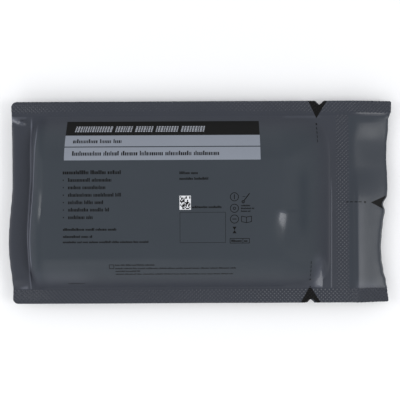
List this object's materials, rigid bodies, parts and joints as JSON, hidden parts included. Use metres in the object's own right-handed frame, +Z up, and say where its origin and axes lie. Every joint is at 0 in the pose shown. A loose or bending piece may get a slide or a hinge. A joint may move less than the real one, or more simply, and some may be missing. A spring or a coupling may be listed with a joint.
{
  "type": "emergency trauma bandage in a sealed pouch",
  "caption": "Folded padded trauma bandage vacuum packed in a dark heat-sealed film pouch with knurled seals, tear notches and an open tail.",
  "frame": {"origin": "middle of the pouch's outline, on the flat face that it rests on", "axes": "+X along the pouch from its folded end to its open tail, +Y across it, +Z up, out of the printed front"},
  "size_m": [0.3, 0.1576, 0.034],
  "materials": {
    "pouch_film": "satin laminated film, dark slate grey",
    "bandage_cloth": "soft unbleached knitted and padded cloth"
  },
  "bodies": {
    "root": {"front_leaf": "pouch_film", "back_leaf": "pouch_film", "folded_bandage": "bandage_cloth"}
  },
  "joints": []
}
